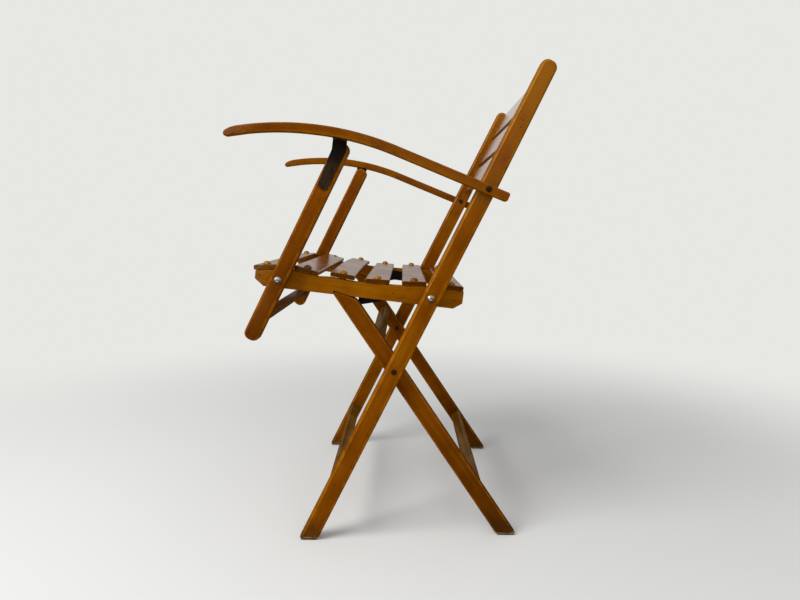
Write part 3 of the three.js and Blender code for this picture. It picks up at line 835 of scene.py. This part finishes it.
BACK_SLAT_EDGE = 0.0015
SEAT_SLAT_EDGE = 0.0026
SLAT_END_EDGE = 0.0009
SLAT_PARTS = 24
# The third seat slat has warped upwards in the middle
WARPED_SLAT = 3
SLAT_WARP = 0.004
BAR_EDGE = 0.003
LOW_STRETCHER_EDGE = 0.0055


def make_back_slats():
    for number in BACK_SLATS:
        node = f"back_slat_{number}"
        slat = add_block(f"back_board_{number}", *node_box(node, RAIL_TURN))
        ease_edges(slat, BACK_SLAT_EDGE)
        turn_piece(slat, RAIL_TURN)
        smooth(slat)
        dress(slat, back_wood, "frame", "back_slat_wood", node)


def make_seat_slats():
    for number in SEAT_SLATS:
        node = f"seat_slat_{number}"
        turn = SEAT_TURN + SLAT_TILTS[number - 1]
        low, high = node_box(node, turn)
        slat = add_block(f"seat_board_{number}", low, high)
        round_corners(slat, lambda spot: True, SEAT_SLAT_EDGE, 5)
        score(slat, ACROSS, even_places(low.x, high.x, SLAT_PARTS))
        ease_edges(slat, SLAT_END_EDGE)
        if number == WARPED_SLAT:
            bow(slat, UP * SLAT_WARP, high.x - low.x)
        turn_piece(slat, turn)
        smooth(slat)
        dress(slat, slat_wood, "seat", "seat_slat_wood", node)


def make_bar(name, node, turn, body, edge, material):
    bar = add_block(name, *node_box(node, turn))
    round_corners(bar, lambda spot: True, edge, 6)
    ease_edges(bar, SLAT_END_EDGE)
    turn_piece(bar, turn)
    smooth(bar)
    dress(bar, material, body, "cross_wood", node)


def make_bars():
    make_bar("foot_stretcher", "front_stretcher", RAIL_TURN, "frame", BAR_EDGE, stretcher_wood)
    make_bar("low_stretcher", "rear_stretcher", LEG_TURN, "legs", LOW_STRETCHER_EDGE, stretcher_wood)
    make_bar("crossing_bar", "leg_bar", LEG_TURN, "legs", BAR_EDGE, stretcher_wood)
    make_bar("under_seat_bar", "post_bar", RAIL_TURN, "posts", BAR_EDGE, bar_wood)


# Plugs, screws, plates and glides


PLUG_SIDES = 32
PLUG_RINGS = 24
# The plug that is gone, and the two nearer ones that are of a redder wood
BARE_SCREW = (2, "right")
REDDISH_PLUGS = ((2, "left"), (5, "left"))
BARE_SCREW_SHARE = 0.62
BARE_SCREW_HEIGHT = 0.0016
BARE_SLOT_WIDTH = 0.0012
BARE_SLOT_DEPTH = 0.0008


def make_plug(number, side):
    """A domed wooden plug, or the low slotted screw head where the plug is gone."""
    node = f"seat_slat_{number}_plug_{side}"
    turn = SEAT_TURN + SLAT_TILTS[number - 1]
    low, high = node_box(node, turn)
    radius = (high.x - low.x) / 2
    middle = (low + high) / 2
    bare = (number, side) == BARE_SCREW
    bpy.ops.object.select_all(action="DESELECT")
    bpy.ops.mesh.primitive_uv_sphere_add(
        segments=PLUG_SIDES, ring_count=PLUG_RINGS, radius=radius, location=(middle.x, middle.y, low.z))
    plug = name_piece(f"plug_{number}_{side}")
    foot = Vector((middle.x, middle.y, low.z))
    tall = BARE_SCREW_HEIGHT if bare else high.z - low.z
    wide = BARE_SCREW_SHARE if bare else 1
    squash = Matrix.Diagonal((wide, wide, tall / radius, 1))
    fix_place(plug, Matrix.Translation(foot) @ squash @ Matrix.Translation(-foot))
    saw(plug, foot, -UP)
    if bare:
        slot = Vector((radius, BARE_SLOT_WIDTH / 2, BARE_SLOT_DEPTH))
        crown = Vector((middle.x, middle.y, low.z + BARE_SCREW_HEIGHT))
        cut_away(plug, add_block("slot_cutter", crown - slot, crown + slot))
    turn_piece(plug, turn)
    smooth(plug)
    material = brown_steel if bare else red_plug_wood if (number, side) in REDDISH_PLUGS else gold_plug_wood
    dress(plug, material, "seat", "browned_steel" if bare else "plug_wood", node)


def make_plugs():
    for number in SEAT_SLATS:
        for side in SIDES:
            make_plug(number, side)


CROSS_LENGTH = 0.0060
CROSS_WIDTH = 0.0015
CROSS_DEPTH = 0.0022
CROSS_TURN = math.radians(20)
SLOT_LENGTH = 0.02
SLOT_WIDTH = 0.0008
SLOT_DEPTH = 0.0006
SLOT_TURN = math.radians(15)


def cut_slot(piece, crown, length, width, depth, turn):
    """Cut one driver slot into a head whose crown points along X."""
    half = Vector((depth, length / 2, width / 2))
    cutter = add_block("slot_cutter", -half, half)
    fix_place(cutter, Matrix.Translation(crown) @ Matrix.Rotation(turn, 4, "X"))
    cut_away(piece, cutter)


def make_bolts():
    """The bolts keep their turned shapes, with driver slots cut where the photo shows them."""
    for node, body, slot, material in (
            ("seat_bolt", "frame", "bright_steel", bright_steel),
            ("post_bolt", "posts", "bright_steel", bright_steel),
            ("bracket_screw", "posts", "browned_steel", strap_paint)):
        bolt = solid_copy(f"{node}_head_left", f"{node}_left")
        crown = node_middle(f"{node}_left")
        crown.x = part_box(f"{node}_left")[1].x
        if node == "bracket_screw":
            cut_slot(bolt, crown, SLOT_LENGTH, SLOT_WIDTH, SLOT_DEPTH, SLOT_TURN)
        else:
            for turn in (CROSS_TURN, CROSS_TURN + math.pi / 2):
                cut_slot(bolt, crown, CROSS_LENGTH, CROSS_WIDTH, CROSS_DEPTH, turn)
        finish_pair(bolt, f"{node}_head", material, body, slot, node)


STRAP_MARKS = (0.0154, -0.0271)
STRAP_MARK_RADIUS = 0.0026
STRAP_MARK_HEIGHT = 0.0005
STRAP_THICKNESS = 0.0025
STRAP_MARK_SIDES = 24
STRAP_SLOT_LENGTH = 0.01
STRAP_SLOT_WIDTH = 0.0006
STRAP_SLOT_DEPTH = 0.0004
STRAP_SLOT_TURN = math.radians(40)
# The glides' worn edges stand a little inside the feet
GLIDE_SHARE = 0.86


def make_fittings():
    """Brackets, plates, packing strips and glides with their edges eased, and the heads on the straps."""
    for node, body, slot, material, edge in (
            ("arm_bracket", "{}_arm", "brown_painted_steel", strap_paint, 0.0004),
            ("catch_plate", "seat", "blued_steel", catch_steel, 0.0003),
            ("slat_spacer", "seat", "seat_slat_wood", slat_wood, 0.0005),
            ("front_glide", "frame", "grey_glide", glide_grey, 0.0006),
            ("rear_glide", "legs", "grey_glide", glide_grey, 0.0006)):
        fitting = solid_copy(f"{node}_piece_left", f"{node}_left")
        if material is glide_grey:
            middle = node_middle(f"{node}_left")
            shrunk = Matrix.Diagonal((GLIDE_SHARE, GLIDE_SHARE, 1, 1))
            fix_place(fitting, Matrix.Translation(middle) @ shrunk @ Matrix.Translation(-middle))
        ease_edges(fitting, edge, steps=2)
        finish_pair(fitting, f"{node}_piece", material, body, slot, node)
    strap_face = BRACKET_PIVOT.copy()
    strap_face.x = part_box("arm_bracket_left")[0].x + STRAP_THICKNESS
    for number, along in enumerate(STRAP_MARKS, 1):
        spot = strap_face + UP * along
        name = f"strap_head_{number}_left"
        head = add_rod(name, spot, STRAP_MARK_RADIUS, 2 * STRAP_MARK_HEIGHT, STRAP_MARK_SIDES)
        crown = spot + ACROSS * STRAP_MARK_HEIGHT
        cut_slot(head, crown, STRAP_SLOT_LENGTH, STRAP_SLOT_WIDTH, STRAP_SLOT_DEPTH, STRAP_SLOT_TURN * number)
        turn_piece(head, RAIL_TURN)
        finish_pair(head, f"strap_head_{number}", strap_paint, "{}_arm", "brown_painted_steel")


def give_finishes():
    """The plain bolts at the crossing and on the arms keep their solids."""
    for side in SIDES:
        for node in ("leg_bolt", "arm_bolt"):
            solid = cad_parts[f"{node}_{side}"]
            solid.data.materials.clear()
            solid.data.materials.append(brown_steel)


make_long_rails()
make_rear_legs()
make_front_posts()
make_seat_rails()
make_arms()
make_back_slats()
make_seat_slats()
make_bars()
make_plugs()
make_bolts()
make_fittings()
give_finishes()


# Stage, light and camera


FLOOR_SIZE = 60.0
FLOOR_TONE = (0.80, 0.795, 0.77)
ROOM_TONE = (0.95, 0.97, 1.0)
ROOM_STRENGTH = 0.42
BACKDROP_TONE = (0.80, 0.80, 0.775)
MIRRORED_FLOOR_TONE = (0.20, 0.115, 0.045)
# Gloss sees the backdrop dimmer near the horizon: two heights of view, and the strength at each
MIRRORED_RISE = (0.05, 0.40, 0.50, 1.30)
FLOOR_FADES_FROM = 0.45
FLOOR_FADES_TO = 1.7
EYE = Vector((1.278, 0.02131, 0.520745))
LOOK = Vector((-0.99358403, -0.00579066, -0.11294798))
RIGHT = Vector((-0.00621826, 0.99997477, 0.00343391))
LENS = 29.29
SENSOR_WIDTH = 36
NEAREST = 0.05
FARTHEST = 100

# Lights, as name, place, the spot that they face, size and power
SOFTBOXES = (
    ("high softbox", (1.3, -1.7, 2.1), (0, 0, 0.4), (1.5, 1.5), 60),
    ("front softbox", (2.4, 0.6, 1.3), (0, 0, 0.4), (1.8, 1.4), 12))
WINDOW = ("window", (2.7, -1.0, 0.9), (0, 0, 0.5), (0.35, 2.4), 40)


def floor_material():
    """A plain pale floor that keeps the shadow and fades into the backdrop further off.

    The gloss on the chair sees it as a warm brown.
    """
    plain = Recipe("plain floor")
    plain.set(Base_Color=FLOOR_TONE, Roughness=0.9, Specular_IOR_Level=0.1)
    path = plain.add("ShaderNodeLightPath")
    distance = plain.add("ShaderNodeVectorMath", operation="LENGTH")
    plain.feed(distance.inputs[0], plain.place())
    far = plain.fade(distance.outputs["Value"], FLOOR_FADES_FROM, FLOOR_FADES_TO)
    surface = plain.shader.outputs[0]
    for amount, tone in (
            (plain.math("MULTIPLY", path.outputs["Is Camera Ray"], far), BACKDROP_TONE),
            (path.outputs["Is Glossy Ray"], MIRRORED_FLOOR_TONE)):
        shown = plain.add("ShaderNodeEmission")
        plain.feed(shown.inputs["Color"], tone)
        blend = plain.add("ShaderNodeMixShader")
        for socket, value in zip(blend.inputs, (amount, surface, shown.outputs[0])):
            plain.feed(socket, value)
        surface = blend.outputs[0]
    plain.feed(plain.tree.nodes["Material Output"].inputs["Surface"], surface)
    return plain.material


def set_stage():
    bpy.ops.object.select_all(action="DESELECT")
    bpy.ops.mesh.primitive_plane_add(size=FLOOR_SIZE, location=(0, 0, 0))
    floor = name_piece("plain_floor")
    floor.data.materials.append(floor_material())

    world = bpy.data.worlds.new("soft room")
    bpy.context.scene.world = world
    world.use_nodes = True
    tree = world.node_tree
    soft = tree.nodes["Background"]
    soft.inputs["Color"].default_value = (*ROOM_TONE, 1)
    soft.inputs["Strength"].default_value = ROOM_STRENGTH
    path = tree.nodes.new("ShaderNodeLightPath")
    direction = tree.nodes.new("ShaderNodeTexCoord")
    parts = tree.nodes.new("ShaderNodeSeparateXYZ")
    tree.links.new(direction.outputs["Generated"], parts.inputs[0])
    rise = tree.nodes.new("ShaderNodeMapRange")
    tree.links.new(parts.outputs["Z"], rise.inputs["Value"])
    for place, number in enumerate(MIRRORED_RISE, 1):
        rise.inputs[place].default_value = number
    below = soft
    for ray, strength in (("Is Glossy Ray", rise.outputs[0]), ("Is Camera Ray", None)):
        shown = tree.nodes.new("ShaderNodeBackground")
        shown.inputs["Color"].default_value = (*BACKDROP_TONE, 1)
        if strength:
            tree.links.new(strength, shown.inputs["Strength"])
        mix = tree.nodes.new("ShaderNodeMixShader")
        tree.links.new(path.outputs[ray], mix.inputs[0])
        tree.links.new(below.outputs[0], mix.inputs[1])
        tree.links.new(shown.outputs[0], mix.inputs[2])
        below = mix
    tree.links.new(below.outputs[0], tree.nodes["World Output"].inputs["Surface"])


def add_softbox(name, place, aim, size, power):
    light = bpy.data.lights.new(name, "AREA")
    light.shape = "RECTANGLE"
    light.size, light.size_y = size
    light.energy = power
    lamp = bpy.data.objects.new(name, light)
    bpy.context.collection.objects.link(lamp)
    lamp.location = place
    lamp.rotation_mode = "QUATERNION"
    lamp.rotation_quaternion = (Vector(aim) - Vector(place)).to_track_quat("-Z", "Y")
    return lamp


def add_window():
    """A tall strip of light that only the gloss on the rounded edges shows."""
    window = add_softbox(*WINDOW)
    window.visible_diffuse = False


def set_camera():
    camera = bpy.data.cameras.new("photo view")
    camera.sensor_width = SENSOR_WIDTH
    camera.lens = LENS
    camera.clip_start = NEAREST
    camera.clip_end = FARTHEST
    eye = bpy.data.objects.new("photo view", camera)
    bpy.context.collection.objects.link(eye)
    up = RIGHT.cross(LOOK)
    turn = Matrix((RIGHT, up, -LOOK)).transposed()
    eye.matrix_world = Matrix.Translation(EYE) @ turn.to_4x4()
    bpy.context.scene.camera = eye


set_stage()
for softbox in SOFTBOXES:
    add_softbox(*softbox)
add_window()
set_camera()

bpy.context.scene.view_settings.view_transform = "Standard"
